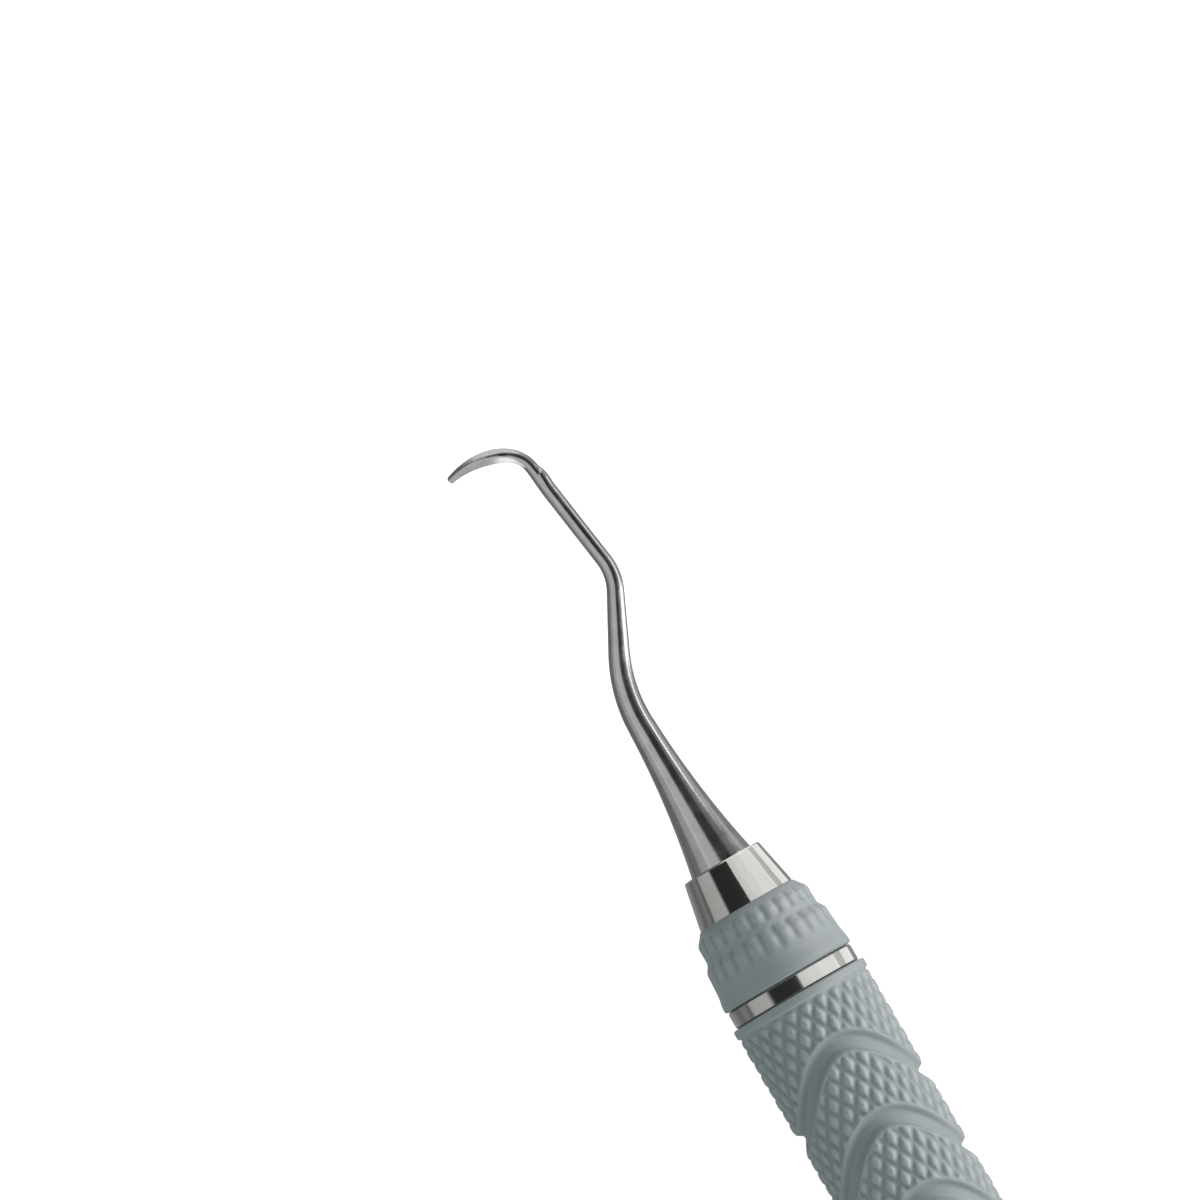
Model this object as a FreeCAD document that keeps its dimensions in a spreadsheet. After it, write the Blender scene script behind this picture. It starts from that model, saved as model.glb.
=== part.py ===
import FreeCAD, Part
import math
import os
import Sketcher

# A double-ended dental hand instrument. The handle lies along X, its working ends bend in the
# horizontal plane, and the origin is under the handle's centre on the surface it rests on.
# Every piece of one end is made in its own frame, with the handle's axis as X and the
# handle's centre as the origin. The rear end is the front one turned half a turn about Z.
doc = FreeCAD.newDocument("DentalHandInstrument")
sizes = doc.addObject("Spreadsheet::Sheet", "Sizes")

# alias: (value in mm, degrees or pieces, meaning)
DIMENSIONS = {
    "face_x": (56.0, "collar's front face from the handle's centre"),
    "steel_radius": (4.75, "band and barrel, a 9.5 mm handle"),
    "rim_radius": (5.07, "plain rim of the main grip, the handle's widest place"),
    "clearance": (0.03, "gap between silicone and steel ends"),
    # handle tube
    "tube_radius": (3.5, "outside of the tube"),
    "tube_bore": (2.9, "inside of the tube"),
    "tube_setback": (5.0, "tube's end behind the collar's face"),
    # collar
    "collar_front": (2.89, "cone at the face"),
    "collar_back": (3.56, "cone where the nose grip starts"),
    "collar_cone": (3.3, "visible length of the cone"),
    "collar_head": (4.4, "face to the shoulder that the gasket sits on"),
    "collar_length": (12.0, "face to the end of the spigot"),
    "collar_edge": (0.15, "rounding of the front edge"),
    "spigot_edge": (0.3, "chamfer of the spigot's end"),
    "socket_radius": (2.33, "recess for the foot of the shank"),
    "socket_depth": (0.6, "depth of that recess"),
    "tang_radius": (1.6, "tang, and the bore it is pressed in"),
    "tang_end": (19.0, "face to the tang's end"),
    "tang_edge": (0.3, "chamfer of the tang's end"),
    # tang bush
    "bush_front": (14.0, "face to the bush"),
    "bush_back": (18.0, "face to the bush's other end"),
    "bush_edge": (0.2, "chamfer of the bush"),
    # nose grip
    "nose_lip": (3.7, "first radius of the silicone nose"),
    "nose_row_one": (4.26, "radius of the front row of flutes"),
    "nose_row_two": (4.62, "radius of the rear row of flutes"),
    "nose_flare": (4.9, "radius at the band"),
    "nose_one_start": (4.2, "face to the front row"),
    "nose_one_end": (5.3, "face to the end of the front row"),
    "nose_two_start": (6.1, "face to the rear row"),
    "nose_two_end": (7.7, "face to the end of the rear row"),
    "nose_end": (9.0, "face to the end of the nose"),
    "flute_count": (24, "flutes in each row"),
    "flute_width": (0.36, "width of one flute"),
    "flute_depth": (0.24, "depth of one flute"),
    "flute_reach": (0.25, "how far a flute runs past its row"),
    # band
    "band_start": (9.05, "face to the band"),
    "band_end": (10.27, "face to the band's other end"),
    "band_edge": (0.1, "chamfer of the band"),
    # main grip
    "grip_start": (10.3, "face to the main grip"),
    "grip_end": (46.0, "face to the main grip's other end"),
    "rim_width": (0.7, "plain rim at each end"),
    "rim_edge": (0.15, "rounding of the rim"),
    "valley_radius": (4.8, "narrow valley behind the rim"),
    "valley_width": (0.5, "width of that valley"),
    "grip_radius": (4.95, "knurled stretch, at the tops of its diamonds"),
    # centre barrel
    "barrel_edge": (0.25, "chamfer of the barrel"),
    "groove_count": (3, "turned grooves at each end of the barrel"),
    "groove_pitch": (1.2, "distance between grooves"),
    "groove_first": (2.0, "barrel's end to the first groove"),
    "groove_radius": (0.25, "section of a groove"),
    # shank: a straight taper, two opposed bends, a straight terminal shank
    "taper_run": (10.8, "face to the first bend"),
    "bend_one_radius": (10.9, "radius of the first bend"),
    "bend_one_turn": (26.9, "turn of the first bend"),
    "middle_run": (4.2, "straight between the bends"),
    "bend_two_radius": (3.85, "radius of the second bend"),
    "bend_two_turn": (34.7, "turn of the second bend"),
    "terminal_run": (7.8, "straight terminal shank"),
    "shank_foot": (2.28, "radius at the face"),
    "taper_hollow": (62.0, "radius of the taper's concave outline"),
    "shank_bend_one": (0.96, "radius where the first bend starts"),
    "shank_middle": (0.74, "radius between the bends"),
    "shank_bend_two": (0.6, "radius in the second bend"),
    "shank_terminal": (0.55, "radius of the terminal shank"),
    "shank_shoulder": (0.48, "radius where the shank steps down to the blade's neck"),
    "shoulder_place": (0.95, "share of the terminal run where that step starts"),
    # blade: a tight hook that opens into a slower curve, with a half-moon section
    "hook_radius": (2.26, "radius of the hook"),
    "hook_turn": (57.0, "turn of the hook"),
    "blade_radius": (5.66, "radius of the blade's own curve"),
    "blade_turn": (42.0, "turn of the blade's own curve"),
    "neck_half": (0.45, "half thickness at the neck"),
    "blade_half": (0.53, "half thickness at mid blade"),
    "toe_edge": (0.18, "rounding of the toe"),
    "toe_half": (0.27, "half thickness at the toe"),
    "blade_tilt": (30.0, "turn of the cutting face out of square"),
}
for row, (alias, (value, meaning)) in enumerate(DIMENSIONS.items(), start=1):
    sizes.set(f"A{row}", alias)
    sizes.set(f"B{row}", str(value))
    sizes.set(f"C{row}", meaning)
    sizes.setAlias(f"B{row}", alias)
doc.recompute()
bodies = []
# Two edges or places closer than this, in mm, are the same one
NEAR = 1e-4


def size(alias):
    """The present value of one cell of the sheet."""
    return float(sizes.get(alias))


def bound(formula):
    """A formula in aliases, such as 'face_x - nose_end', as an expression on the sheet."""
    words = formula.split()
    return " ".join(f"Sizes.{word}" if word in DIMENSIONS else word for word in words)


def worked_out(formula):
    """The value of such a formula."""
    value = sizes.evalExpression(formula)
    return float(getattr(value, "Value", value))


def new_body(label):
    """A body on the handle's axis; labels that start with rear_ are turned half a turn."""
    body = doc.addObject("PartDesign::Body", label)
    body.Label = label
    half_turn = 180 if label.startswith("rear_") else 0
    body.Placement = FreeCAD.Placement(FreeCAD.Vector(0, 0, 0), FreeCAD.Rotation(half_turn, 0, 0))
    body.setExpression("Placement.Base.z", "Sizes.rim_radius")
    bodies.append(body)
    return body


def origin_feature(body, role):
    return next(item for item in body.Origin.OriginFeatures if item.Role == role)


def new_sketch(body, name, role="XY_Plane"):
    sketch = body.newObject("Sketcher::SketchObject", f"{body.Name}_{name}")
    sketch.AttachmentSupport = [(origin_feature(body, role), "")]
    sketch.MapMode = "FlatFace"
    return sketch


def hold(sketch, constraint, formula):
    """Adds a constraint and binds its value to a formula on the sheet."""
    index = sketch.addConstraint(constraint)
    sketch.setExpression(f"Constraints[{index}]", bound(formula))


def hold_point(sketch, point, x_formula, y_formula):
    """Holds a point, given as (geometry, which end), at two formulas from the origin."""
    for kind, formula in (("DistanceX", x_formula), ("DistanceY", y_formula)):
        hold(sketch, Sketcher.Constraint(kind, -1, 1, *point, worked_out(formula)), formula)


def closed_outline(sketch, corners):
    """Straight lines through corners given as pairs of formulas, closed and fully held."""
    points = [FreeCAD.Vector(worked_out(x), worked_out(y), 0) for x, y in corners]
    following = points[1:] + points[:1]
    lines = [sketch.addGeometry(Part.LineSegment(a, b)) for a, b in zip(points, following)]
    for line, after in zip(lines, lines[1:] + lines[:1]):
        sketch.addConstraint(Sketcher.Constraint("Coincident", line, 2, after, 1))
    for line, (x_formula, y_formula) in zip(lines, corners):
        hold_point(sketch, (line, 1), x_formula, y_formula)


def revolve(body, name, sketch, kind="Revolution"):
    """Turns a sketch's outline about the handle's axis; kind Groove cuts it away."""
    feature = body.newObject(f"PartDesign::{kind}", f"{body.Name}_{name}")
    feature.Profile = sketch
    feature.ReferenceAxis = (sketch, ["H_Axis"])
    feature.Angle = 360
    doc.recompute()
    return feature


def turned(body, name, corners):
    """A turned shape with straight edges, its outline given beside the handle's axis."""
    sketch = new_sketch(body, f"{name}_outline")
    closed_outline(sketch, corners)
    return revolve(body, name, sketch)


def rings(feature, x_formula, radius_formula):
    """Names of the circular edges at a place along the axis with a given radius."""
    place, radius = worked_out(x_formula), worked_out(radius_formula)
    return [f"Edge{number}" for number, edge in enumerate(feature.Shape.Edges, start=1)
            if isinstance(edge.Curve, Part.Circle) and abs(edge.Curve.Radius - radius) < NEAR
            and abs(edge.Curve.Center.x - place) < NEAR]


def edge_feature(body, name, kind, base, size_alias, places):
    """A fillet or chamfer on the rings at places, given as (x formula, radius formula)."""
    names = [ring for x, radius in places for ring in rings(base, x, radius)]
    feature = body.newObject(f"PartDesign::{kind}", f"{body.Name}_{name}")
    feature.Base = (base, names)
    feature.setExpression("Radius" if kind == "Fillet" else "Size", bound(size_alias))
    doc.recompute()
    return feature


def tube_outline(start, end, inner, outer):
    """A plain sleeve's outline between two places along the axis."""
    return [(start, inner), (end, inner), (end, outer), (start, outer)]


def behind(alias):
    """A place along the axis, measured back from the collar's front face."""
    return f"face_x - {alias}"


def make_handle_tube():
    body = new_body("handle_tube")
    turned(body, "wall", tube_outline("tube_setback - face_x", behind("tube_setback"),
                                      "tube_bore", "tube_radius"))


def make_centre_barrel():
    """A plain barrel between the two grips, with turned grooves near each end."""
    body = new_body("centre_barrel")
    half = "face_x - grip_end - clearance"
    wall = turned(body, "wall", tube_outline("grip_end + clearance - face_x", half,
                                             "tube_radius", "steel_radius"))
    edge_feature(body, "edges", "Chamfer", wall, "barrel_edge",
                 [(half, "steel_radius"), (f"0 - ( {half} )", "steel_radius")])
    for name, side in (("front", 1), ("back", -1)):
        sketch = new_sketch(body, f"groove_outline_{name}")
        for number in range(int(size("groove_count"))):
            place = f"{side} * ( {half} - groove_first - {number} * groove_pitch )"
            centre = FreeCAD.Vector(worked_out(place), size("steel_radius"), 0)
            circle = sketch.addGeometry(
                Part.Circle(centre, FreeCAD.Vector(0, 0, 1), size("groove_radius")))
            hold_point(sketch, (circle, 3), place, "steel_radius")
            hold(sketch, Sketcher.Constraint("Radius", circle, size("groove_radius")),
                 "groove_radius")
        revolve(body, f"grooves_{name}", sketch, "Groove")


def make_collar(end):
    """The cone, the shoulder for the gasket, the spigot in the tube and the tang's bore."""
    body = new_body(f"{end}_collar")
    turned_shape = turned(body, "cone", [
        ("face_x", "socket_radius"),
        ("face_x", "collar_front"),
        (behind("collar_cone"), "collar_back"),
        (behind("collar_cone"), "tube_radius"),
        (behind("collar_head"), "tube_radius"),
        (behind("collar_head"), "tube_bore"),
        (behind("collar_length"), "tube_bore"),
        (behind("collar_length"), "tang_radius"),
        (behind("socket_depth"), "tang_radius"),
        (behind("socket_depth"), "socket_radius")])
    rounded = edge_feature(body, "face_edge", "Fillet", turned_shape, "collar_edge",
                           [("face_x", "collar_front")])
    edge_feature(body, "spigot_edge", "Chamfer", rounded, "spigot_edge",
                 [(behind("collar_length"), "tube_bore")])


def make_seal_ring(end):
    """A flat gasket between the collar's shoulder and the tube's end."""
    body = new_body(f"{end}_seal_ring")
    turned(body, "gasket", tube_outline(behind("tube_setback"), behind("collar_head"),
                                        "tube_bore", "tube_radius"))


def make_tang_bush(end):
    """A bush that fills the tube round the rear of the tang."""
    body = new_body(f"{end}_tang_bush")
    wall = turned(body, "wall", tube_outline(behind("bush_back"), behind("bush_front"),
                                             "tang_radius", "tube_bore"))
    edge_feature(body, "edges", "Chamfer", wall, "bush_edge",
                 [(behind("bush_back"), "tube_bore"), (behind("bush_front"), "tube_bore")])


def make_band(end):
    body = new_body(f"{end}_band")
    wall = turned(body, "wall", tube_outline(behind("band_end"), behind("band_start"),
                                             "tube_radius", "steel_radius"))
    edge_feature(body, "edges", "Chamfer", wall, "band_edge",
                 [(behind("band_end"), "steel_radius"), (behind("band_start"), "steel_radius")])


def make_nose_grip(end):
    """The silicone nose: two stepped rows of flutes, then a flare to the band."""
    body = new_body(f"{end}_nose_grip")
    skin = turned(body, "skin", [
        (behind("nose_end"), "tube_radius"),
        (behind("nose_end"), "nose_flare"),
        (behind("nose_two_end"), "nose_row_two"),
        (behind("nose_two_start"), "nose_row_two"),
        (behind("nose_one_end"), "nose_row_one"),
        (behind("nose_one_start"), "nose_row_one"),
        (f"{behind('collar_cone')} - clearance", "nose_lip"),
        (f"{behind('collar_cone')} - clearance", "tube_radius")])
    flutes = []
    for name in ("one", "two"):
        radius = f"nose_row_{name}"
        start = f"{behind(f'nose_{name}_start')} + flute_reach"
        end_of_row = f"{behind(f'nose_{name}_end')} - flute_reach"
        sketch = new_sketch(body, f"flute_{name}_outline")
        closed_outline(sketch, [
            (end_of_row, f"{radius} + flute_depth"),
            (start, f"{radius} + flute_depth"),
            (start, f"{radius} - flute_depth"),
            (end_of_row, f"{radius} - flute_depth")])
        flute = body.newObject("PartDesign::Pocket", f"{body.Name}_flute_{name}")
        flute.Profile = sketch
        flute.Midplane = True
        flute.setExpression("Length", bound("flute_width"))
        doc.recompute()
        flutes.append(flute)
    around = body.newObject("PartDesign::PolarPattern", f"{body.Name}_flutes")
    around.Originals = flutes
    around.Axis = (origin_feature(body, "X_Axis"), [""])
    around.Angle = 360
    around.setExpression("Occurrences", bound("flute_count"))
    body.Tip = around
    doc.recompute()
    if around.Shape.Volume > skin.Shape.Volume - 1:
        raise RuntimeError(f"{body.Label}: the flutes cut nothing")


def make_grip_sleeve(end):
    """The silicone main grip: a plain rim and a narrow valley at each end of the sleeve."""
    body = new_body(f"{end}_grip_sleeve")
    front, back = behind("grip_start"), behind("grip_end")
    sleeve = turned(body, "sleeve", [
        (back, "tube_radius"),
        (front, "tube_radius"),
        (front, "rim_radius"),
        (f"{front} - rim_width", "rim_radius"),
        (f"{front} - rim_width", "valley_radius"),
        (f"{front} - rim_width - valley_width", "valley_radius"),
        (f"{front} - rim_width - valley_width", "grip_radius"),
        (f"{back} + rim_width + valley_width", "grip_radius"),
        (f"{back} + rim_width + valley_width", "valley_radius"),
        (f"{back} + rim_width", "valley_radius"),
        (f"{back} + rim_width", "rim_radius"),
        (back, "rim_radius")])
    edge_feature(body, "rim_edges", "Fillet", sleeve, "rim_edge", [
        (front, "rim_radius"), (f"{front} - rim_width", "rim_radius"),
        (back, "rim_radius"), (f"{back} + rim_width", "rim_radius")])


# Runs of the working end's centre line, from the collar's face to the toe: each one's length
# along the line and its total turn in degrees. A positive turn is towards +Y of the body.
def centre_line():
    def arc(radius, turn, way):
        return size(radius) * math.radians(size(turn)), way * size(turn)

    return [(size("taper_run"), 0.0),
            arc("bend_one_radius", "bend_one_turn", -1),
            (size("middle_run"), 0.0),
            arc("bend_two_radius", "bend_two_turn", 1),
            (size("terminal_run"), 0.0),
            arc("hook_radius", "hook_turn", 1),
            arc("blade_radius", "blade_turn", 1)]


def frame_at(run, share):
    """Place and heading at a share, 0 to 1, of one run of the centre line."""
    x, y, heading = size("face_x"), 0.0, 0.0
    for number, (length, turn) in enumerate(centre_line()[:run + 1]):
        part = share if number == run else 1.0
        chord_heading = heading + math.radians(turn) * part / 2
        half_angle = math.radians(abs(turn)) * part / 2
        chord = length * part
        if half_angle > 0:
            chord *= math.sin(half_angle) / half_angle
        x += chord * math.cos(chord_heading)
        y += chord * math.sin(chord_heading)
        heading += math.radians(turn) * part
    return FreeCAD.Vector(x, y, 0), heading


def section_sketch(body, name, run, share):
    """A sketch square to the centre line: its X points up, its Y to the outside of the hook."""
    sketch = new_sketch(body, name)
    place, heading = frame_at(run, share)
    ahead = FreeCAD.Vector(math.cos(heading), math.sin(heading), 0)
    up = FreeCAD.Vector(0, 0, 1)
    rotation = FreeCAD.Rotation(up, ahead.cross(up), ahead, "ZXY")
    sketch.AttachmentOffset = FreeCAD.Placement(place, rotation)
    return sketch


def round_section(body, name, run, share, radius):
    """A circle on the centre line."""
    sketch = section_sketch(body, name, run, share)
    circle = sketch.addGeometry(
        Part.Circle(FreeCAD.Vector(0, 0, 0), FreeCAD.Vector(0, 0, 1), worked_out(radius)))
    sketch.addConstraint(Sketcher.Constraint("Coincident", circle, 3, -1, 1))
    hold(sketch, Sketcher.Constraint("Radius", circle, worked_out(radius)), radius)
    return sketch


def half_moon_section(body, name, run, share, radius, face_depth):
    """A circle cut by the flat cutting face, which lies at a share of the radius."""
    sketch = section_sketch(body, name, run, share)
    around = worked_out(radius)
    depth = f"{face_depth} * ( {radius} )"
    middle = math.radians(-90 + size("blade_tilt"))
    reach = math.acos(worked_out(depth) / around)
    centre = FreeCAD.Vector(0, 0, 0)
    circle = Part.Circle(centre, FreeCAD.Vector(0, 0, 1), around)
    arc = sketch.addGeometry(
        Part.ArcOfCircle(circle, middle + reach, middle - reach + 2 * math.pi))
    ends = [FreeCAD.Vector(around * math.cos(angle), around * math.sin(angle), 0)
            for angle in (middle - reach, middle + reach)]
    face = sketch.addGeometry(Part.LineSegment(*ends))
    sketch.addConstraint(Sketcher.Constraint("Coincident", arc, 3, -1, 1))
    sketch.addConstraint(Sketcher.Constraint("Coincident", arc, 2, face, 1))
    sketch.addConstraint(Sketcher.Constraint("Coincident", face, 2, arc, 1))
    hold(sketch, Sketcher.Constraint("Radius", arc, around), radius)
    hold(sketch, Sketcher.Constraint("Distance", -1, 1, face, worked_out(depth)), depth)
    tilt = math.radians(size("blade_tilt"))
    hold(sketch, Sketcher.Constraint("Angle", face, tilt), "blade_tilt * 1deg")
    return sketch


def swept(body, name, run, start, end, sections):
    """Carries one section to the next along a stretch of one run of the centre line."""
    line = new_sketch(body, f"{name}_line")
    places = [frame_at(run, share)[0] for share in (start, (start + end) / 2, end)]
    if centre_line()[run][1]:
        line.addGeometry(Part.Arc(*places))
    else:
        line.addGeometry(Part.LineSegment(places[0], places[2]))
    feature = body.newObject("PartDesign::AdditivePipe", f"{body.Name}_{name}")
    feature.Profile = sections[0]
    feature.Spine = (line, ["Edge1"])
    feature.Sections = sections[1:]
    feature.Transformation = "Multisection"
    doc.recompute()


def add_taper(body):
    """The shank's concave taper, turned: an arc from the foot to the start of the first bend."""
    sketch = new_sketch(body, "taper_outline")
    corners = [("face_x", "0"), ("face_x", "shank_foot"),
               ("face_x + taper_run", "shank_bend_one"), ("face_x + taper_run", "0")]
    points = [FreeCAD.Vector(worked_out(x), worked_out(y), 0) for x, y in corners]
    chord = points[2] - points[1]
    outward = FreeCAD.Vector(-chord.y, chord.x, 0).normalize()
    hollow = size("taper_hollow")
    sagitta = hollow - math.sqrt(hollow ** 2 - (chord.Length / 2) ** 2)
    waist = (points[1] + points[2]) / 2 - outward * sagitta
    edges = [sketch.addGeometry(edge) for edge in (
        Part.LineSegment(points[0], points[1]),
        Part.Arc(points[1], waist, points[2]),
        Part.LineSegment(points[2], points[3]),
        Part.LineSegment(points[3], points[0]))]
    foot_line, arc, tip_line, axis_line = edges
    for before, after in zip(edges, edges[1:] + edges[:1]):
        sketch.addConstraint(Sketcher.Constraint("Coincident", before, 2, after, 1))
    for end_point, (x_formula, y_formula) in (
            ((foot_line, 1), corners[0]), ((foot_line, 2), corners[1]),
            ((tip_line, 1), corners[2]), ((tip_line, 2), corners[3])):
        hold_point(sketch, end_point, x_formula, y_formula)
    hold(sketch, Sketcher.Constraint("Radius", arc, hollow), "taper_hollow")
    revolve(body, "taper", sketch)


def make_working_end(end):
    """Tang, foot and taper, turned; the shank, round sections; the blade, half-moon sections."""
    body = new_body(f"{end}_working_end")
    tang = turned(body, "tang", [
        (behind("tang_end"), "0"),
        (behind("tang_end"), "tang_radius"),
        (f"{behind('socket_depth')} + clearance", "tang_radius"),
        (f"{behind('socket_depth')} + clearance", "shank_foot"),
        ("face_x", "shank_foot"),
        ("face_x", "0")])
    edge_feature(body, "tang_edge", "Chamfer", tang, "tang_edge",
                 [(behind("tang_end"), "tang_radius")])
    add_taper(body)
    bend_one, middle, bend_two, terminal, hook, blade = range(1, 7)
    for name, run, start, stop, start_radius, end_radius in (
            ("bend_one", bend_one, 0.0, 1.0, "shank_bend_one", "shank_middle"),
            ("middle", middle, 0.0, 1.0, "shank_middle", "shank_bend_two"),
            ("bend_two", bend_two, 0.0, 1.0, "shank_bend_two", "shank_terminal"),
            ("terminal", terminal, 0.0, size("shoulder_place"), "shank_terminal", "shank_terminal"),
            ("shoulder", terminal, size("shoulder_place"), 1.0, "shank_terminal", "shank_shoulder")):
        sections = [round_section(body, f"{name}_start", run, start, start_radius),
                    round_section(body, f"{name}_end", run, stop, end_radius)]
        swept(body, name, run, start, stop, sections)
    # Share of its run, radius, and how deep the flat face lies as a share of the radius.
    stations = [(terminal, 0.93, "neck_half", 0.97),
                (hook, 0.1, "neck_half", 0.95),
                (hook, 0.45, "neck_half", 0.88),
                (hook, 0.8, "( neck_half + blade_half ) / 2", 0.75),
                (blade, 0.07, "blade_half", 0.62),
                (blade, 0.28, "blade_half", 0.55),
                (blade, 0.49, "( 5 * blade_half + toe_half ) / 6", 0.52),
                (blade, 0.7, "( blade_half + toe_half ) / 2", 0.5),
                (blade, 0.85, "( blade_half + 3 * toe_half ) / 4", 0.49),
                (blade, 1.0, "toe_half", 0.48)]
    blades = [half_moon_section(body, f"blade_{number}", *station)
              for number, station in enumerate(stations)]
    blade_loft = body.newObject("PartDesign::AdditiveLoft", f"{body.Name}_blade")
    blade_loft.Profile = blades[0]
    blade_loft.Sections = blades[1:]
    doc.recompute()
    toe = frame_at(blade, 1.0)[0]
    end_edges = [f"Edge{number}" for number, edge in enumerate(blade_loft.Shape.Edges, start=1)
                 if all(point.distanceToPoint(toe) < size("toe_half") + NEAR
                        for point in edge.discretize(5))]
    rounding = body.newObject("PartDesign::Fillet", f"{body.Name}_toe")
    rounding.Base = (blade_loft, end_edges)
    rounding.setExpression("Radius", bound("toe_edge"))
    doc.recompute()


def check_document():
    """Stops on any failed object or unsound shape before a file is written."""
    for item in doc.Objects:
        if {"Invalid", "Error"} & set(item.State):
            raise RuntimeError(f"{item.Name} failed: {item.State}")
    for body in bodies:
        if body.Shape.isNull() or not body.Shape.isValid():
            raise RuntimeError(f"{body.Label} has no sound shape")
        if len(body.Shape.Solids) != 1:
            raise RuntimeError(f"{body.Label} is {len(body.Shape.Solids)} solids")


make_handle_tube()
make_centre_barrel()
for end in ("front", "rear"):
    make_working_end(end)
    make_collar(end)
    make_seal_ring(end)
    make_tang_bush(end)
    make_nose_grip(end)
    make_band(end)
    make_grip_sleeve(end)
doc.recompute()
check_document()
os.makedirs("parts", exist_ok=True)
for body in bodies:
    body.Shape.exportStep(f"parts/{body.Label}.step")
    box = body.Shape.BoundBox
    print(f"{body.Label:20s} volume {body.Shape.Volume:9.2f}  x {box.XMin:7.2f} {box.XMax:7.2f}"
          f"  y {box.YMin:6.2f} {box.YMax:6.2f}  z {box.ZMin:6.2f} {box.ZMax:6.2f}")
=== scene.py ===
import math

import bpy
import numpy as np
from mathutils import Matrix, Vector


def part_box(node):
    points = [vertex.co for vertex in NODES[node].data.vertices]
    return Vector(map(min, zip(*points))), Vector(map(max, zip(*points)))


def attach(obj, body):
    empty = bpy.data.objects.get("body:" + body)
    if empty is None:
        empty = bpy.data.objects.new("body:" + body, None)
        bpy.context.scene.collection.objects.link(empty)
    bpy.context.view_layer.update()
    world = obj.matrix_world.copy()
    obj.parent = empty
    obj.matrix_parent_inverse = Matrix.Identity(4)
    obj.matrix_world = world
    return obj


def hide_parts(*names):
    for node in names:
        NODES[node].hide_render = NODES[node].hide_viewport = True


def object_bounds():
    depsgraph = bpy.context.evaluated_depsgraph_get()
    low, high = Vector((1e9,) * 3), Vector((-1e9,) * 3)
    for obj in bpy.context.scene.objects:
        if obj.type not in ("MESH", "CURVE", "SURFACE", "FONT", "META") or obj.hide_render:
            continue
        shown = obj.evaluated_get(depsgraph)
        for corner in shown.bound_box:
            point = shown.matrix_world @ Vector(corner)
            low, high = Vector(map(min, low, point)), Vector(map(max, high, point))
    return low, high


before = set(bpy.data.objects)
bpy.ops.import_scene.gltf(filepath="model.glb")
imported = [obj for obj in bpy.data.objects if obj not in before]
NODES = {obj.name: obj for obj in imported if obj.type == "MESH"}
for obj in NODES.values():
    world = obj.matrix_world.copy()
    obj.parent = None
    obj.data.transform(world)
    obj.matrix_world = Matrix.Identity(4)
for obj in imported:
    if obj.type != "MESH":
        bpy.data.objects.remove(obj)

# The looks of a double-ended dental hand instrument with steel tips and silicone grips.
# Lengths written with MM are in metres, as everything placed in Blender is. Those of the
# nose's outline and of the working end are in millimetres until their meshes are made.
# Distances along the handle are measured back from a collar's front face, as "behind the
# face". An angle about the handle is zero at the top and grows towards -Y.
MM = 0.001
CAD_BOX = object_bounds()
ENDS = ("front", "rear")

FACE_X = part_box("front_collar")[1][0]
AXIS_Z = (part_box("front_band")[0][2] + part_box("front_band")[1][2]) / 2
RIM_RADIUS = (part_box("front_grip_sleeve")[1][2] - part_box("front_grip_sleeve")[0][2]) / 2
TUBE_RADIUS = (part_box("handle_tube")[1][2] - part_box("handle_tube")[0][2]) / 2

# Painted shade and light in the silicone's colour, from 0, painted shade, in the recesses to 1,
# painted light, on the tops: kept on its meshes under this name
PAINTED_LIGHTNESS = "painted_lightness"
# The level of painted light on plain, smooth silicone
PLAIN_PAINTED_LIGHTNESS = 0.42

# Main grip: the diamonds, with the mesh's steps across one, and a place where tops lie
KNURLS_AROUND = 26
KNURL_PERIOD = 1.9 * MM
KNURL_STEPS = 14
KNURL_ORIGIN = 11.37 * MM
KNURL_PEAK = 5.0 * MM
KNURL_RELIEF = 0.22 * MM
# The share of a diamond that is flat top, and the share of its side that is hollow
KNURL_TOP = 0.2
KNURL_HOLLOW = 0.42
# The heights at which the painted light on a diamond starts and is complete, as shares of a diamond's
# height; lower down, in the grooves, it is painted shade
KNURL_PAINTED_LIGHT = (0.1, 0.8)

# The radius beside the diamonds, the plain rims and the valley next to each. The stretches
# are measured from the sleeve's end.
PLAIN_LEVEL = 4.93 * MM
RIM_WIDTH = 0.7 * MM
RIM_EDGE = 0.14 * MM
RIM_VALLEY = 4.84 * MM
RIM_FALL = (RIM_WIDTH - 0.12 * MM, RIM_WIDTH + 0.05 * MM)
VALLEY_RISE = (RIM_WIDTH + 0.05 * MM, RIM_WIDTH + 0.25 * MM)
KNURL_RISE = (RIM_WIDTH + 0.08 * MM, RIM_WIDTH + 0.3 * MM)
# Rows of the mesh on a rim, how they crowd towards its end, and how far they reach
RIM_ROWS = 11
RIM_CROWDING = 1.3
RIM_ROWS_REACH = RIM_WIDTH + 0.12 * MM

# Wave channels, each in two waves around the handle, and the first one's middle
WAVE_START = 16.9 * MM
WAVE_SWING = 2.3 * MM
WAVE_PITCH = 5.81 * MM
WAVE_COUNT = 5
WAVES_AROUND = 2
WAVE_PHASE = math.radians(6)
# Half a channel's width, half its flat floor's width, and its depth
WAVE_HALF_WIDTH = 0.77 * MM
WAVE_FLOOR = 0.40 * MM
WAVE_DEPTH = 0.47 * MM
# Beside a channel: the smooth lip, and the border in which the diamonds rise
WAVE_LIP = 0.02 * MM
WAVE_BORDER = 0.22 * MM
# How much painted shade darkens a channel's floor
WAVE_PAINTED_SHADE = 0.3

# Nose grip: its flutes, with the mesh's steps across one, and the hollow share of a flute
FLUTES = 24
FLUTE_STEPS = 16
FLUTE_DEPTH = 0.125 * MM
SLOT_SHARE = 0.26
FLUTE_PHASE = math.radians(-5)
# Each row of flutes, in mm behind the face: the stretch where it rises, and where it fades
FLUTE_ROWS = (((3.7, 4.05), (4.75, 5.15)), ((5.3, 5.65), (6.6, 7.4)))
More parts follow.
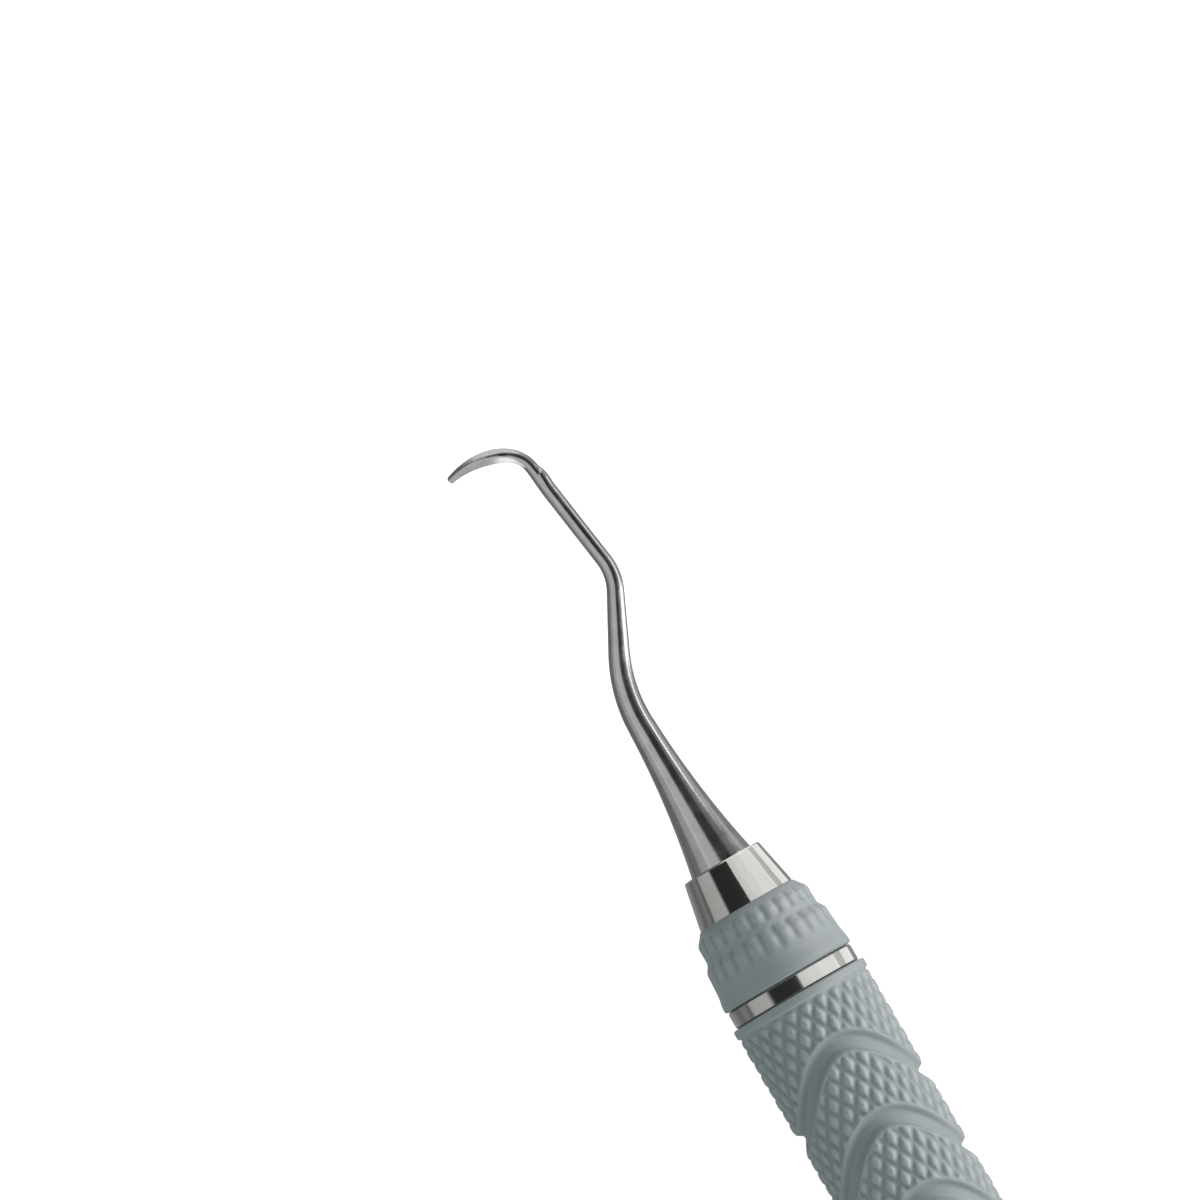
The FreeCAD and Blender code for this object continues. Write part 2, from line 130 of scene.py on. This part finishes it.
# How much painted light a flute ridge's top gets, and the height at which that is reached; the slots
# between get painted shade
RIDGE_PAINTED_LIGHT = 0.78
RIDGE_LIT_HEIGHT = 0.7
# The outline, in mm: the radius in front, then what each step or flare adds to it and the
# stretch behind the face where it does so. The cone between them widens evenly.
NOSE_FRONT = 3.66
NOSE_STEPS = ((0.60, 3.3, 4.35), (0.38, 5.35, 6.2), (0.16, 7.6, 8.75))
NOSE_CONE = (0.09, 6.2, 7.7)
NOSE_ROWS = 118
NOSE_EDGE = 0.2 * MM
# How much painted shade darkens the nose at its two ends, and the stretch where that fades out
NOSE_END_PAINTED_SHADE = 0.45
NOSE_END_FADE = (0.05 * MM, 0.35 * MM)

# Working end. Its centre line starts at the collar's face; each run of it has a length, a
# turn in degrees towards the inside of the hook, and the step between rows of the mesh.
CENTRE_LINE = (
    (10.8, 0.0, 0.15),     # straight taper
    (5.117, -26.9, 0.1),   # first bend
    (4.2, 0.0, 0.1),       # straight between the bends
    (2.332, 34.7, 0.08),   # second bend
    (6.8, 0.0, 0.1),       # terminal shank
    (1.0, 0.0, 0.04),      # its last part, with the shoulder
    (2.248, 57.0, 0.04),   # hook
    (4.149, 42.0, 0.04))   # blade
TAPER_RUN = CENTRE_LINE[0][0]
# The taper's radius at the face, and how hollow its sides are halfway along
SHANK_FOOT = 2.28
TAPER_HOLLOW = 0.239
# Distance along the centre line and radius there
RADII = ((10.8, 0.96), (15.917, 0.74), (20.117, 0.6), (22.449, 0.55), (28.4, 0.55), (30.1, 0.46),
         (31.26, 0.45), (32.295, 0.49), (32.787, 0.53), (33.66, 0.53), (34.53, 0.487),
         (35.4, 0.4), (36.02, 0.335), (36.646, 0.27))
# Those radii are averaged this far each way, up to NECK_START and beyond it
SHANK_SOFTENING = 0.8
NECK_SOFTENING = 0.1
NECK_START = 28
SOFTENING_SAMPLES = 9
# Distance along the centre line and depth of the flat cutting face as a share of the radius
FACE_DEPTHS = ((28.8, 1.5), (30.6, 0.95), (31.26, 0.88), (32.295, 0.75), (32.787, 0.62),
               (33.66, 0.55), (34.53, 0.52), (35.4, 0.5), (36.646, 0.48))
# The way the cutting face looks, and a power: the higher, the sharper the face's edges
FACE_TURN = math.radians(-60)
FACE_CORNER = 24
TOE_EDGE = 0.18
# The shoulder where the blade's neck is ground down, on the outside of the hook: how high it
# is, which way it faces, where it rises, where its slanting facet drops and how long that is
SHOULDER = 0.1
SHOULDER_TURN = math.radians(80)
SHOULDER_START = 28.4
SHOULDER_TOP = 29.4
SHOULDER_SLANT = 0.42
SHOULDER_FACET = 0.26
# The hidden tang and the back of the shank's foot: distance along the axis and radius there
TANG = ((-19, 0.01), (-19, 1.3), (-18.7, 1.6), (-0.57, 1.6), (-0.57, SHANK_FOOT))
TIP_COLUMNS = 112
# Where each point of the working end would be if its centre line were straight
UNBENT = "unbent"


def smooth_step(value, low, high):
    """0 below low, 1 above high, and an S-shaped rise between them."""
    share = np.clip((value - low) / (high - low), 0.0, 1.0)
    return share * share * (3.0 - 2.0 * share)


def rounded_groove(from_middle, hollow):
    """A groove beside a rounded ridge: 0 at the groove's middle, 1 at the ridge's top.

    from_middle runs from 0 to 1 between the two; up to hollow the surface is hollow.
    """
    share = np.clip(from_middle, 0.0, 1.0)
    return np.where(share < hollow, share ** 2 / hollow, 1 - (1 - share) ** 2 / (1 - hollow))


def edge_drop(from_end, edge):
    """How far a quarter-round edge of radius edge lies below the surface it ends."""
    share = np.clip(1 - from_end / edge, 0, 1)
    return edge * (1 - np.sqrt(np.clip(1 - share ** 2, 0, 1)))


def column_angles(columns):
    """The angle about the axis of each column of a mesh."""
    return np.arange(columns) * 2 * math.pi / columns


def quads(rows, columns, closed):
    """Faces between rows of points that go round an axis; closed joins the last to the first."""
    row = np.arange(rows if closed else rows - 1)[:, None]
    column = np.arange(columns)[None, :]
    next_row = (row + 1) % rows
    next_column = (column + 1) % columns
    corners = [row * columns + column, next_row * columns + column,
               next_row * columns + next_column, row * columns + next_column]
    return np.stack(np.broadcast_arrays(*corners), axis=-1).reshape(-1, 4).tolist()


def link(thing):
    bpy.context.scene.collection.objects.link(thing)
    return thing


def add_piece(name, points, faces, attribute, values):
    """A smooth piece in the scene, with a number or a vector kept at each of its points."""
    mesh = bpy.data.meshes.new(name)
    mesh.from_pydata(points.reshape(-1, 3).tolist(), [], faces)
    mesh.validate()
    mesh.shade_smooth()
    kind, member = ("FLOAT_VECTOR", "vector") if values.ndim == 3 else ("FLOAT", "value")
    mesh.attributes.new(attribute, kind, "POINT").data.foreach_set(member, values.ravel())
    return link(bpy.data.objects.new(name, mesh))


def end_side(end):
    """The way an end points in X. The rear one is the front one turned half a turn about Z."""
    return 1.0 if end == "front" else -1.0


def ends_doubled(rows):
    return np.vstack([rows[:1], rows, rows[-1:]])


def sleeve_span(node):
    """How far behind the face a front sleeve starts and stops."""
    low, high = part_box(node)
    return FACE_X - high[0], FACE_X - low[0]


def make_sleeve(name, behind, radius, painted_lightness, end):
    """A closed sleeve on the handle's axis.

    behind, radius and burnish are arrays of rows along the handle by columns around it, burnish
    holding the painted shade and light. Two more rows at the tube's radius close the sleeve's ends and
    make its bore.
    """
    rows, columns = radius.shape
    angle = column_angles(columns)
    bore = np.full((1, columns), TUBE_RADIUS)
    reach = np.vstack([bore, radius, bore])
    side = end_side(end)
    x = side * (FACE_X - ends_doubled(behind))
    y = -side * reach * np.sin(angle)
    z = AXIS_Z + reach * np.cos(angle)
    points = np.stack([x, y, z], axis=-1)
    faces = quads(rows + 2, columns, closed=True)
    return add_piece(name, points, faces, PAINTED_LIGHTNESS, ends_doubled(painted_lightness))


def wave_depths(behind, angle):
    """How deep the wave channels cut, and how much of the knurl is left beside them."""
    depth = np.zeros_like(behind)
    knurl_left = np.ones_like(behind)
    turn = WAVES_AROUND * (angle - WAVE_PHASE)
    slope = WAVES_AROUND * WAVE_SWING * np.sin(turn) / PLAIN_LEVEL
    lip = WAVE_HALF_WIDTH + WAVE_LIP
    for number in range(WAVE_COUNT):
        middle = WAVE_START + number * WAVE_PITCH - WAVE_SWING * np.cos(turn)
        away = np.abs(behind - middle) / np.sqrt(1 + slope ** 2)
        depth = np.maximum(depth, WAVE_DEPTH * (1 - smooth_step(away, WAVE_FLOOR, WAVE_HALF_WIDTH)))
        knurl_left = np.minimum(knurl_left, smooth_step(away, lip, lip + WAVE_BORDER))
    return depth, knurl_left


def knurl_height(behind, angle):
    """0 in the crossing grooves and 1 on the rounded tops of the diamonds."""
    around = angle * KNURLS_AROUND / (2 * math.pi)
    along = (behind - KNURL_ORIGIN) / KNURL_PERIOD
    height = 1.0
    for across in (around + along, around - along):
        from_groove = 1 - 2 * np.abs(across - np.round(across))
        height = height * rounded_groove(from_groove / (1 - KNURL_TOP), KNURL_HOLLOW)
    return height


def grip_rows(start, stop):
    """The main grip's rows of points: crowded on the rims and even between them."""
    step = KNURL_PERIOD / KNURL_STEPS
    rim_rows = np.linspace(0, 1, RIM_ROWS) ** RIM_CROWDING * RIM_ROWS_REACH
    inner_rows = np.arange(start + rim_rows[-1] + step, stop - rim_rows[-1] - step / 2, step)
    return np.concatenate([start + rim_rows, inner_rows, stop - rim_rows[::-1]])


def make_grip_sleeve(end):
    """The main grip: a plain rim at each end, diamonds between, wave channels through them."""
    start, stop = sleeve_span("front_grip_sleeve")
    angles = column_angles(KNURLS_AROUND * KNURL_STEPS)
    behind, angle = np.meshgrid(grip_rows(start, stop), angles, indexing="ij")
    from_end = np.minimum(behind - start, stop - behind)
    depth, knurl_left = wave_depths(behind, angle)
    knurl_left = knurl_left * smooth_step(from_end, *KNURL_RISE)
    height = knurl_height(behind, angle)
    knurled = KNURL_PEAK - KNURL_RELIEF * (1 - height)
    field = PLAIN_LEVEL + (knurled - PLAIN_LEVEL) * knurl_left - depth
    rim = RIM_RADIUS - edge_drop(from_end, RIM_EDGE)
    inside_rim = RIM_VALLEY + (field - RIM_VALLEY) * smooth_step(from_end, *VALLEY_RISE)
    radius = rim + (inside_rim - rim) * smooth_step(from_end, *RIM_FALL)
    # Painted light on the diamonds' tops, painted shade in their grooves, and more painted shade on
    # the channels' floors
    painted_light = smooth_step(height, *KNURL_PAINTED_LIGHT)
    painted_lightness = PLAIN_PAINTED_LIGHTNESS + (painted_light - PLAIN_PAINTED_LIGHTNESS) * knurl_left
    painted_lightness = painted_lightness - WAVE_PAINTED_SHADE * smooth_step(depth, 0, WAVE_DEPTH)
    piece = make_sleeve(f"{end}_knurled_grip", behind, radius, painted_lightness, end)
    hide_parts(f"{end}_grip_sleeve")
    return piece


def nose_outline(at):
    """The nose's radius over its ridges, in mm, at so many mm behind the face."""
    added, cone_start, cone_stop = NOSE_CONE
    outline = NOSE_FRONT + np.interp(at, (cone_start, cone_stop), (0, added))
    for added, start, stop in NOSE_STEPS:
        outline = outline + added * smooth_step(at, start, stop)
    return outline


def make_nose_grip(end):
    """The silicone nose: two stepped rows of rounded flutes, then a smooth flare."""
    start, stop = sleeve_span("front_nose_grip")
    rows = np.linspace(start, stop, NOSE_ROWS)
    behind, angle = np.meshgrid(rows, column_angles(FLUTES * FLUTE_STEPS), indexing="ij")
    at = behind / MM
    turns = FLUTES * (angle - FLUTE_PHASE) / (2 * math.pi)
    ridge = rounded_groove(2 * np.abs(turns - np.round(turns)), SLOT_SHARE)
    fluted = np.zeros_like(at)
    for rise, fade in FLUTE_ROWS:
        fluted = np.maximum(fluted, smooth_step(at, *rise) * (1 - smooth_step(at, *fade)))
    flute = FLUTE_DEPTH * (1 - ridge) * fluted
    from_end = np.minimum(behind - start, stop - behind)
    radius = nose_outline(at) * MM - flute - edge_drop(from_end, NOSE_EDGE)
    # Painted light on the flutes' ridges, painted shade in their slots and at the nose's two ends
    painted_light = RIDGE_PAINTED_LIGHT * smooth_step(ridge, 0, RIDGE_LIT_HEIGHT)
    painted_lightness = PLAIN_PAINTED_LIGHTNESS + (painted_light - PLAIN_PAINTED_LIGHTNESS) * fluted
    painted_lightness = painted_lightness - NOSE_END_PAINTED_SHADE * (1 - smooth_step(from_end, *NOSE_END_FADE))
    piece = make_sleeve(f"{end}_fluted_nose", behind, radius, painted_lightness, end)
    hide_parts(f"{end}_nose_grip")
    return piece


def centre_rows():
    """The centre line's rows: distance along it, the place in X and Y, and the heading."""
    x, y, heading, done = 0.0, 0.0, 0.0, 0.0
    rows = []
    for length, turn, step in CENTRE_LINE:
        count = round(length / step)
        share = np.arange(1, count + 1) / count
        half_turn = math.radians(turn) * share / 2
        chord = length * share * np.sinc(half_turn / math.pi)
        run = np.stack([done + length * share, x + chord * np.cos(heading + half_turn),
                        y + chord * np.sin(heading + half_turn), heading + 2 * half_turn], axis=-1)
        rows.append(run)
        done, x, y, heading = run[-1]
    return np.vstack(rows)


def tip_radius(along):
    """Half thickness along the centre line: a hollow taper, the slender shank, the blade."""
    share = np.clip(along / TAPER_RUN, 0, 1)
    distances, radii = np.array(RADII).T
    taper = SHANK_FOOT + (radii[0] - SHANK_FOOT) * share - 4 * TAPER_HOLLOW * share * (1 - share)
    soften = np.where(along < NECK_START, SHANK_SOFTENING, NECK_SOFTENING)
    offsets = np.linspace(-1, 1, SOFTENING_SAMPLES)[:, None] * soften
    slender = np.interp(along + offsets, distances, radii).mean(axis=0)
    toe = edge_drop(distances[-1] - along, TOE_EDGE)
    return np.where(along < TAPER_RUN, taper, slender - toe)


def shoulder_height(along, turn):
    """How far the shoulder stands out: a slow rise, then a facet that drops at a slant."""
    drop = SHOULDER_TOP + SHOULDER_SLANT * np.clip(np.sin(turn), 0, 1)
    facet = np.clip((drop + SHOULDER_FACET - along) / SHOULDER_FACET, 0, 1)
    step = smooth_step(along, SHOULDER_START, SHOULDER_TOP) * facet
    return SHOULDER * step * np.clip(np.cos(turn - SHOULDER_TURN), 0, 1)


def make_working_end(end):
    """Tang, tapered shank with two opposed bends, and the half-moon blade with its flat face."""
    line = centre_rows()
    tang = [(along, along, 0.0, 0.0) for along, _ in TANG] + [(0.0, 0.0, 0.0, 0.0)]
    along, x, y, heading = (column[:, None] for column in np.vstack([tang, line]).T)
    tang_radii = [radius for _, radius in TANG] + [SHANK_FOOT]
    radius = np.concatenate([tang_radii, tip_radius(line[:, 0])])[:, None]
    turn = column_angles(TIP_COLUMNS)[None, :]
    radius = radius + shoulder_height(along, turn)
    depth = np.interp(along, *np.array(FACE_DEPTHS).T)
    towards_face = np.clip(np.cos(turn - FACE_TURN), 0, None) / depth
    reach = radius / (1 + towards_face ** FACE_CORNER) ** (1 / FACE_CORNER)
    outward = reach * np.sin(turn)
    upward = reach * np.cos(turn)
    side = end_side(end)
    points = np.stack([side * (FACE_X / MM + x + outward * np.sin(heading)),
                       side * (y - outward * np.cos(heading)), AXIS_Z / MM + upward], axis=-1) * MM
    rows = len(along)
    tang_end = list(range(TIP_COLUMNS))
    toe = [(rows - 1) * TIP_COLUMNS + column for column in reversed(tang_end)]
    faces = [tang_end, toe] + quads(rows, TIP_COLUMNS, closed=False)
    unbent = np.stack([np.broadcast_to(along, reach.shape), outward, upward], axis=-1) * MM
    piece = add_piece(f"{end}_ground_tip", points, faces, UNBENT, unbent)
    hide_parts(f"{end}_working_end")
    return piece


class Nodes:
    """A short way to write a node tree."""

    def __init__(self, tree):
        self.tree = tree

    def add(self, kind, inputs=None, **settings):
        node = self.tree.nodes.new(kind)
        for key, value in settings.items():
            setattr(node, key, value)
        self.feed(node, inputs or {})
        return node

    def feed(self, node, inputs):
        """Gives each named or numbered input a value, or links it to another node's output."""
        for key, value in inputs.items():
            if isinstance(value, bpy.types.NodeSocket):
                self.tree.links.new(value, node.inputs[key])
            else:
                node.inputs[key].default_value = value

    def place(self):
        """A point's place on the object, in metres."""
        return self.add("ShaderNodeTexCoord").outputs["Object"]

    def camera_ray(self):
        """1 for what the camera sees directly, 0 for light and reflections."""
        return self.add("ShaderNodeLightPath").outputs["Is Camera Ray"]

    def noise(self, place, size, detail=4.0, roughness=0.55, stretch=(1, 1, 1)):
        """Noise whose lumps are about size metres across.

        A stretch of 0.1 along an axis makes them ten times as long there.
        """
        mapping = self.add("ShaderNodeMapping", {"Vector": place, "Scale": stretch})
        return self.add("ShaderNodeTexNoise", {
            "Vector": mapping.outputs["Vector"], "Scale": 1 / size,
            "Detail": detail, "Roughness": roughness}).outputs["Fac"]

    def remap(self, value, low, high, new_low, new_high):
        return self.add("ShaderNodeMapRange", {
            "Value": value, "From Min": low, "From Max": high,
            "To Min": new_low, "To Max": new_high}).outputs["Result"]

    def mix(self, share, first, second):
        """A colour between two: a colour mix takes its share and colours at inputs 0, 6 and 7."""
        return self.add("ShaderNodeMix", {0: share, 6: first, 7: second}, data_type="RGBA").outputs[2]

    def math(self, operation, *values):
        return self.add("ShaderNodeMath", dict(enumerate(values)), operation=operation).outputs[0]

    def bump(self, height, strength, distance):
        return self.add("ShaderNodeBump", {
            "Height": height, "Strength": strength, "Distance": distance}).outputs["Normal"]


class Skin(Nodes):
    """The nodes of a new material, around its surface shader."""

    def __init__(self, name):
        self.material = bpy.data.materials.new(name)
        self.material.use_nodes = True
        super().__init__(self.material.node_tree)

    def finish(self, inputs):
        """Feeds the surface shader and gives the material."""
        self.feed(self.tree.nodes["Principled BSDF"], inputs)
        return self.material


def grey(level):
    return (level, level, level, 1)


def silicone():
    """Matte grey-blue silicone with a fine grain and a few pale specks.

    It is painted paler on the tops, as painted light, and is smoother there; the recesses get painted
    shade.
    """
    # The first two are the silicone's colours under painted shade and under painted light, and its
    # random mottle also moves between them; the third is pale dust
    shaded_tone, pale, dust = (0.192, 0.234, 0.244, 1), (0.270, 0.307, 0.317, 1), (0.36, 0.40, 0.41, 1)
    m = Skin("grip_silicone")
    place = m.place()
    mottle = m.noise(place, 2.4 * MM, detail=3)
    grain = m.noise(place, 0.07 * MM, detail=2)
    # The painted shade and light kept on the mesh
    painted_light = m.add("ShaderNodeAttribute", attribute_name=PAINTED_LIGHTNESS).outputs["Fac"]
    shade = m.math("ADD", painted_light, m.remap(mottle, 0.3, 0.7, -0.08, 0.08))
    speck = m.remap(m.noise(place, 0.16 * MM, detail=1), 0.68, 0.74, 0, 0.35)
    return m.finish({
        "Base Color": m.mix(speck, m.mix(m.remap(shade, 0, 1, 0, 1), shaded_tone, pale), dust),
        "Roughness": m.remap(shade, 0, 1, 0.6, 0.42),
        "Specular IOR Level": 0.9,
        "Sheen Weight": 0.1,
        "Sheen Roughness": 0.5,
        "Normal": m.bump(grain, 0.35, 0.012 * MM)})


def polished_steel():
    """Turned and polished stainless steel: fine rings and faint smears."""
    dark, light = (0.585, 0.578, 0.558, 1), (0.625, 0.617, 0.597, 1)
    m = Skin("polished_steel")
    place = m.place()
    rings = m.noise(place, 0.03 * MM, detail=3, stretch=(1, 0.02, 0.02))
    smear = m.noise(place, 3.0 * MM, detail=3)
    return m.finish({
        "Metallic": 1.0,
        "Base Color": m.mix(m.remap(smear, 0.35, 0.65, 0, 1), dark, light),
        "Roughness": m.remap(smear, 0.3, 0.7, 0.07, 0.13),
        "Normal": m.bump(rings, 0.12, 0.002 * MM)})


def working_steel():
    """Satin stainless steel, ground and polished along its length."""
    dark, light = (0.47, 0.47, 0.468, 1), (0.54, 0.54, 0.538, 1)
    m = Skin("working_steel")
    place = m.add("ShaderNodeAttribute", attribute_name=UNBENT).outputs["Vector"]
    grind = m.noise(place, 0.08 * MM, detail=3, stretch=(0.04, 1, 1))
    smear = m.noise(place, 1.2 * MM, detail=4)
    return m.finish({
        "Metallic": 1.0,
        "Base Color": m.mix(m.remap(smear, 0.35, 0.65, 0, 1), dark, light),
        "Roughness": m.remap(smear, 0.3, 0.7, 0.17, 0.25),
        "Normal": m.bump(grind, 0.5, 0.0025 * MM)})


def plain_finish(name, dark, light, roughness, metallic):
    """Hidden pieces: an even finish with a little mottle and grain."""
    m = Skin(name)
    place = m.place()
    mottle = m.noise(place, 1.5 * MM)
    return m.finish({
        "Metallic": metallic,
        "Base Color": m.mix(mottle, grey(dark), grey(light)),
        "Roughness": m.remap(mottle, 0.3, 0.7, roughness - 0.05, roughness + 0.05),
        "Normal": m.bump(m.noise(place, 0.1 * MM), 0.2, 0.005 * MM)})


def paint(piece, material):
    piece.data.materials.clear()
    piece.data.materials.append(material)


def finish_pieces():
    silicone_skin = silicone()
    polished = polished_steel()
    satin = working_steel()
    drawn = plain_finish("tube_steel", dark=0.5, light=0.6, roughness=0.35, metallic=1.0)
    rubber = plain_finish("seal_rubber", dark=0.02, light=0.035, roughness=0.6, metallic=0.0)
    paint(NODES["handle_tube"], drawn)
    paint(NODES["centre_barrel"], polished)
    for end in ENDS:
        paint(NODES[f"{end}_collar"], polished)
        paint(NODES[f"{end}_band"], polished)
        paint(NODES[f"{end}_seal_ring"], rubber)
        paint(NODES[f"{end}_tang_bush"], drawn)
        for piece, skin in ((make_working_end(end), satin), (make_grip_sleeve(end), silicone_skin),
                            (make_nose_grip(end), silicone_skin)):
            paint(piece, skin)
            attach(piece, "root")


# The studio's brightness round the handle, as the steel mirrors it: degrees from overhead
# towards the right, and the level there
SURROUND_BANDS = (
    (-180, 0.35), (-140, 0.3), (-118, 0.17), (-104, 0.27), (-97, 0.25), (-92, 0.15), (-88, 0.17),
    (-84, 0.5), (-46, 0.58), (-40, 0.03), (88, 0.05), (91, 0.74), (107, 0.7), (112, 0.36), (180, 0.36))
# Beyond the front tip it is dim on the left and bright on the right, and beyond the rear tip
# even. A direction is ahead or behind by its share of +X, and right by its share of -Y.
AHEAD = (0.52, 0.64)
AHEAD_RIGHT = (-0.2, 0.05)
AHEAD_LEVELS = (0.2, 1.0)
BEHIND = (-0.5, -0.66)
BEHIND_LEVEL = 0.7
BACKDROP_LEVEL = 0.98


def surround_ramp(m, share):
    """The bands as a colour ramp, over the share of a full turn that starts underneath."""
    ramp = m.add("ShaderNodeValToRGB", {"Fac": share})
    elements = ramp.color_ramp.elements
    while len(elements) > 1:
        elements.remove(elements[-1])
    for degrees, level in SURROUND_BANDS[1:]:
        elements.new(degrees / 360 + 0.5).color = grey(level)
    elements[0].position = 0.0
    elements[0].color = grey(SURROUND_BANDS[0][1])
    return ramp.outputs["Color"]


def light_world():
    """The studio round the instrument, dark overhead and banded at its sides.

    The camera itself sees a plain pale backdrop.
    """
    world = bpy.data.worlds.new("studio")
    bpy.context.scene.world = world
    world.use_nodes = True
    world.node_tree.nodes.clear()
    m = Nodes(world.node_tree)
    generated = m.add("ShaderNodeTexCoord").outputs["Generated"]
    direction = m.add("ShaderNodeSeparateXYZ", {0: generated}).outputs
    towards_right = m.math("MULTIPLY", direction["Y"], -1.0)
    turn = m.math("ARCTAN2", towards_right, direction["Z"])
    bands = surround_ramp(m, m.math("MULTIPLY_ADD", turn, 1 / (2 * math.pi), 0.5))
    ahead_level = m.remap(towards_right, *AHEAD_RIGHT, *AHEAD_LEVELS)
    ahead = m.mix(m.remap(direction["X"], *AHEAD, 0, 1), bands, ahead_level)
    colour = m.mix(m.remap(direction["X"], *BEHIND, 0, 1), ahead, grey(BEHIND_LEVEL))
    studio = m.add("ShaderNodeBackground", {"Color": colour}).outputs[0]
    backdrop = m.add("ShaderNodeBackground", {"Color": grey(BACKDROP_LEVEL)}).outputs[0]
    seen = m.add("ShaderNodeMixShader", {0: m.camera_ray(), 1: studio, 2: backdrop}).outputs[0]
    m.add("ShaderNodeOutputWorld", {"Surface": seen})


# How far from the instrument the panels stand, and how far they reach to each side of its
# middle unless stated, in metres
BOX_DISTANCE = 0.6
BOX_REACH = 0.8


def soft_box(name, first, last, level, pieces, link_state, ahead=BOX_REACH, back=BOX_REACH):
    """A long panel light seen between two angles from overhead towards the right.

    It lights only the given pieces when link_state is INCLUDE, and all but them for EXCLUDE.
    ahead and back are how far it reaches along the handle.
    """
    light = bpy.data.lights.new(name, "AREA")
    light.shape = "RECTANGLE"
    light.size = ahead + back
    light.size_y = 2 * BOX_DISTANCE * math.tan(math.radians(last - first) / 2)
    light.energy = level * math.pi * light.size * light.size_y
    thing = link(bpy.data.objects.new(name, light))
    turn = math.radians(first + last) / 2
    outward = Vector((0, -math.sin(turn), math.cos(turn)))
    along = Vector((1, 0, 0))
    thing.matrix_world = (Matrix.Translation(outward * BOX_DISTANCE + along * (ahead - back) / 2)
                          @ Matrix((along, outward.cross(along), outward)).transposed().to_4x4())
    thing.visible_camera = False
    linked = bpy.data.collections.new(name)
    for piece in pieces:
        linked.objects.link(piece)
    for entry in linked.collection_objects:
        entry.light_linking.link_state = link_state
    thing.light_linking.receiver_collection = linked
    return thing


def light_studio():
    """Each finish has its own panels.

    The polished steel has a broad one in three strips, the working ends have five, and the
    grips have a big box and two tinted fills. A low one lights all but the working ends.
    """
    tips = [bpy.data.objects[f"{end}_ground_tip"] for end in ENDS]
    grips = [bpy.data.objects[f"{end}_{piece}"] for end in ENDS
             for piece in ("knurled_grip", "fluted_nose")]
    for number, (first, last, level) in enumerate(((14, 30, 0.88), (30, 52, 0.97), (52, 90, 1.08))):
        soft_box(f"steel_box_{number}", first, last, level, tips + grips, "EXCLUDE")
    soft_box("low_box", 109, 140, 0.9, tips, "EXCLUDE")
    soft_box("tip_left_box", -46, 0, 0.7, tips, "INCLUDE", ahead=0.45)
    soft_box("tip_right_box", 46, 90, 0.2, tips, "INCLUDE")
    soft_box("tip_edge_box", 70, 82, 2.4, tips, "INCLUDE", ahead=0.2)
    soft_box("tip_rear_right_box", 24, 118, 1.7, tips, "INCLUDE", ahead=-0.14, back=0.9)
    soft_box("tip_rear_left_box", -150, -92, 1.0, tips, "INCLUDE", ahead=-0.03)
    grip_box = soft_box("grip_box", 24, 90, 2.2, grips, "INCLUDE", ahead=0.25, back=1.1)
    grip_box.data.color = (1.0, 0.98, 0.975)
    left_fill = soft_box("grip_left_fill", -90, -50, 0.85, grips, "INCLUDE")
    left_fill.data.color = (0.86, 1.0, 1.0)
    left_fill.visible_glossy = False
    right_fill = soft_box("grip_right_fill", 76, 90, 3.0, grips, "INCLUDE")
    right_fill.data.color = (1.0, 0.9, 0.91)


# Half the floor's side in metres, its gap under the instrument, and its glow to the camera
FLOOR_HALF = 3.0
FLOOR_GAP = 0.01 * MM
FLOOR_GLOW = 0.88


def lay_floor():
    """A plain pale floor just under the instrument. The glow is only for the camera."""
    signs = ((-1, -1), (1, -1), (1, 1), (-1, 1))
    corners = [(x * FLOOR_HALF, y * FLOOR_HALF, 0) for x, y in signs]
    mesh = bpy.data.meshes.new("floor")
    mesh.from_pydata(corners, [], [(0, 1, 2, 3)])
    floor = link(bpy.data.objects.new("floor", mesh))
    floor.location.z = CAD_BOX[0][2] - FLOOR_GAP
    m = Skin("pale_floor")
    paint(floor, m.finish({
        "Base Color": grey(0.75),
        "Roughness": 0.9,
        "Specular IOR Level": 0.1,
        "Emission Color": grey(1),
        "Emission Strength": m.remap(m.camera_ray(), 0, 1, 0.0, FLOOR_GLOW)}))
    floor.visible_glossy = False


# The view: nearly straight down on the bending plane, the front tip a little farther away,
# the handle's axis leaning to the left of upright.
FRAME_WIDTH = 81.08 * MM
LEAN = math.radians(30.25)
TIP_AWAY = math.radians(2.4)
AIM_AHEAD = 19.48 * MM
AIM_RIGHT = 1.87 * MM
CAMERA_DISTANCE = 1.2


def place_camera():
    data = bpy.data.cameras.new("camera")
    data.sensor_width = 36
    data.lens = data.sensor_width * CAMERA_DISTANCE / FRAME_WIDTH
    data.clip_end = 10
    camera = link(bpy.data.objects.new("camera", data))
    looking = Vector((math.sin(TIP_AWAY), 0, -math.cos(TIP_AWAY)))
    to_tip = Vector((math.cos(TIP_AWAY), 0, math.sin(TIP_AWAY)))
    to_right = Vector((0, -1, 0))
    up = math.cos(LEAN) * to_tip + math.sin(LEAN) * to_right
    right = -math.sin(LEAN) * to_tip + math.cos(LEAN) * to_right
    aim = Vector((FACE_X + AIM_AHEAD, -AIM_RIGHT, AXIS_Z))
    turn = Matrix((right, up, -looking)).transposed().to_4x4()
    camera.matrix_world = Matrix.Translation(aim - looking * CAMERA_DISTANCE) @ turn
    bpy.context.scene.camera = camera


finish_pieces()
light_world()
light_studio()
lay_floor()
place_camera()
bpy.context.scene.view_settings.view_transform = "Standard"
